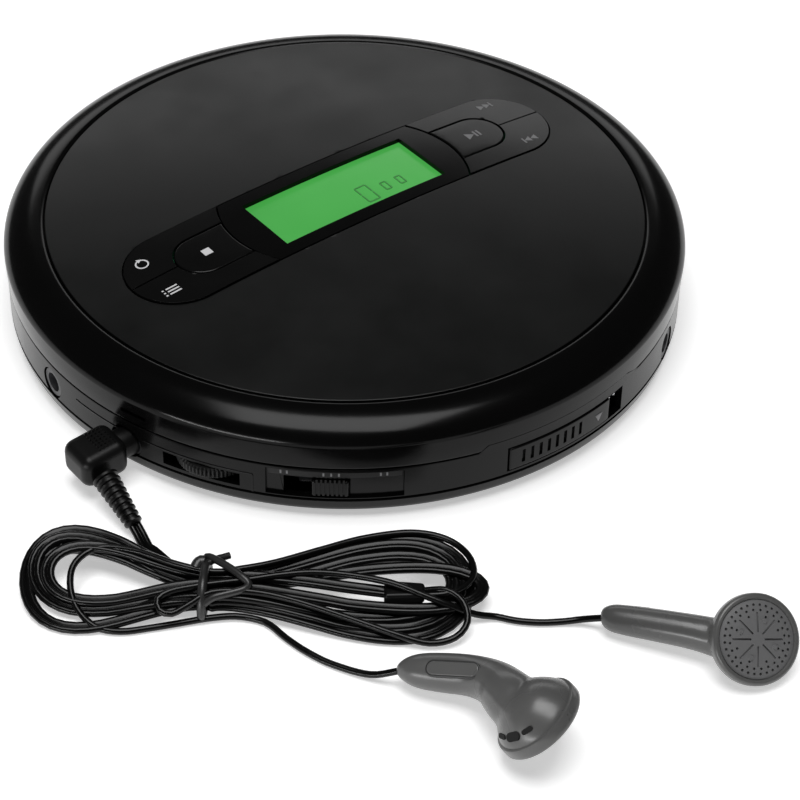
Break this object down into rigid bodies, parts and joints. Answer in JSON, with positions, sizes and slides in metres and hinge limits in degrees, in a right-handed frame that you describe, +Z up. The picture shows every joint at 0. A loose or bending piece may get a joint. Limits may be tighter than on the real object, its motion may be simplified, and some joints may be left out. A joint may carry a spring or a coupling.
{
  "type": "portable disc player",
  "caption": "Round pocket disc player with hinged lid, display and key pod, side controls, disc drive, battery hatch and plugged-in earphones on a tied lead",
  "frame": {"origin": "on the table, under the middle of the round body", "axes": "+X to the listener's right, +Y towards the lid hinge, +Z up; controls and socket side face -X and -Y"},
  "size_m": [0.1725, 0.206, 0.0256],
  "materials": {
    "case_plastic": "satin black moulding",
    "lid_gloss": "polished black",
    "lid_matte": "fine matte black",
    "window_gloss": "clear-faced gloss black",
    "key_gloss": "satin-gloss black with grey symbols",
    "lcd_green": "backlit green display",
    "foot_rubber": "soft black",
    "socket_plastic": "black moulding",
    "drive_plastic": "dark moulding",
    "hub_plastic": "ivory moulding",
    "board": "green solder mask",
    "steel": "bright steel",
    "pinion_brass": "turned brass",
    "cell_wrap": "printed sleeve",
    "cord_jacket": "smooth black jacket",
    "earbud_grey": "satin dark grey",
    "earbud_grille": "perforated dark plate"
  },
  "bodies": {
    "case": {"base_shell": "case_plastic", "upper_case": "case_plastic", "rubber_foot_1": "foot_rubber", "rubber_foot_2": "foot_rubber", "rubber_foot_3": "foot_rubber", "rubber_foot_4": "foot_rubber", "case_screw_1": "steel", "case_screw_2": "steel", "case_screw_3": "steel", "main_board": "board", "headphone_jack": "socket_plastic", "dc_jack": "socket_plastic", "line_out_jack": "socket_plastic", "volume_pot": "socket_plastic", "slide_switch": "steel", "drive_chassis": "drive_plastic", "spindle_motor": "steel", "feed_motor": "steel", "guide_rod": "steel", "aa_cell_1": "cell_wrap", "aa_cell_2": "cell_wrap", "cell_spring": "steel", "cell_contact": "steel", "hinge_pin": "steel", "hinge_spring": "steel", "slider_spring": "steel", "plug_body": "cord_jacket", "plug_tip": "steel", "strain_relief": "cord_jacket", "plug_lead": "cord_jacket", "cord_hank": "cord_jacket", "cord_splitter": "cord_jacket", "twist_tie": "cord_jacket", "left_lead": "cord_jacket", "right_lead": "cord_jacket", "left_earbud": "earbud_grey", "right_earbud": "earbud_grey", "left_grille": "earbud_grille", "right_grille": "earbud_grille"},
    "battery_hatch": {"battery_door": "case_plastic"},
    "lid": {"lid_rim": "lid_gloss", "lid_panel": "lid_matte", "lid_inner_cover": "lid_matte", "display_window": "window_gloss", "lcd_module": "lcd_green", "key_board": "board"},
    "stop_button": {"stop_key": "key_gloss"},
    "play_pause_button": {"play_pause_key": "key_gloss"},
    "play_mode_button": {"play_mode_key": "key_gloss"},
    "preset_button": {"preset_key": "key_gloss"},
    "next_button": {"next_key": "key_gloss"},
    "previous_button": {"previous_key": "key_gloss"},
    "opener": {"open_slider": "case_plastic"},
    "volume_dial": {"volume_wheel": "case_plastic"},
    "selector": {"switch_knob": "case_plastic"},
    "hub": {"turntable": "hub_plastic"},
    "pickup": {"pickup_sled": "drive_plastic"},
    "lens": {"lens_holder": "drive_plastic"},
    "lead_screw": {"feed_screw": "steel"},
    "motor_gear": {"feed_pinion": "pinion_brass"}
  },
  "joints": [
    {"name": "battery_hatch_hinge", "type": "hinge", "parent": "case", "child": "battery_hatch", "pos_m": [0, 0.0169, 0.0017], "axis": [-1, 0, 0], "range_deg": [0, 90]},
    {"name": "lid_hinge", "type": "hinge", "parent": "case", "child": "lid", "pos_m": [0, 0.0679, 0.013], "axis": [-1, 0, 0], "range_deg": [0, 75]},
    {"name": "stop_press", "type": "slide", "parent": "lid", "child": "stop_button", "axis": [0, 0, -1], "range_m": [0, 0.0004], "stiffness_N_per_m": 300, "springref_m": -0.001},
    {"name": "play_pause_press", "type": "slide", "parent": "lid", "child": "play_pause_button", "axis": [0, 0, -1], "range_m": [0, 0.0004], "stiffness_N_per_m": 300, "springref_m": -0.001},
    {"name": "play_mode_press", "type": "slide", "parent": "lid", "child": "play_mode_button", "axis": [0, 0, -1], "range_m": [0, 0.0004], "stiffness_N_per_m": 300, "springref_m": -0.001},
    {"name": "preset_press", "type": "slide", "parent": "lid", "child": "preset_button", "axis": [0, 0, -1], "range_m": [0, 0.0004], "stiffness_N_per_m": 300, "springref_m": -0.001},
    {"name": "next_press", "type": "slide", "parent": "lid", "child": "next_button", "axis": [0, 0, -1], "range_m": [0, 0.0004], "stiffness_N_per_m": 300, "springref_m": -0.001},
    {"name": "previous_press", "type": "slide", "parent": "lid", "child": "previous_button", "axis": [0, 0, -1], "range_m": [0, 0.0004], "stiffness_N_per_m": 300, "springref_m": -0.001},
    {"name": "opener_slide", "type": "hinge", "parent": "case", "child": "opener", "pos_m": [0, 0, 0.0085], "axis": [0, 0, 1], "range_deg": [0, 3.3], "stiffness_Nm_per_rad": 1.5, "springref_deg": -1.72, "deforming": ["slider_spring"]},
    {"name": "volume_turn", "type": "hinge", "parent": "case", "child": "volume_dial", "pos_m": [-0.05464, -0.03116, 0.0073], "axis": [0, 0, 1], "range_deg": [-130, 130]},
    {"name": "selector_slide", "type": "slide", "parent": "case", "child": "selector", "axis": [-0.7716, 0.6361, 0], "range_m": [0, 0.005]},
    {"name": "hub_spin", "type": "hinge", "parent": "case", "child": "hub", "pos_m": [0, 0, 0.0187], "axis": [0, 0, 1], "continuous": true},
    {"name": "pickup_travel", "type": "slide", "parent": "case", "child": "pickup", "axis": [1, 0, 0], "range_m": [0, 0.033]},
    {"name": "lens_focus", "type": "slide", "parent": "pickup", "child": "lens", "axis": [0, 0, 1], "range_m": [-0.0004, 0.0004], "stiffness_N_per_m": 40},
    {"name": "lead_screw_turn", "type": "hinge", "parent": "case", "child": "lead_screw", "pos_m": [0.0117, -0.0083, 0.0087], "axis": [1, 0, 0], "range_deg": [0, 3960]},
    {"name": "motor_gear_turn", "type": "hinge", "parent": "case", "child": "motor_gear", "pos_m": [0.0117, -0.0146, 0.0091], "axis": [1, 0, 0], "range_deg": [-9241, 0]}
  ],
  "couplings": [
    {"joint": "lead_screw_turn", "follows": "pickup_travel", "rad_per_m": 2094.4},
    {"joint": "motor_gear_turn", "follows": "pickup_travel", "rad_per_m": -4886.9}
  ]
}
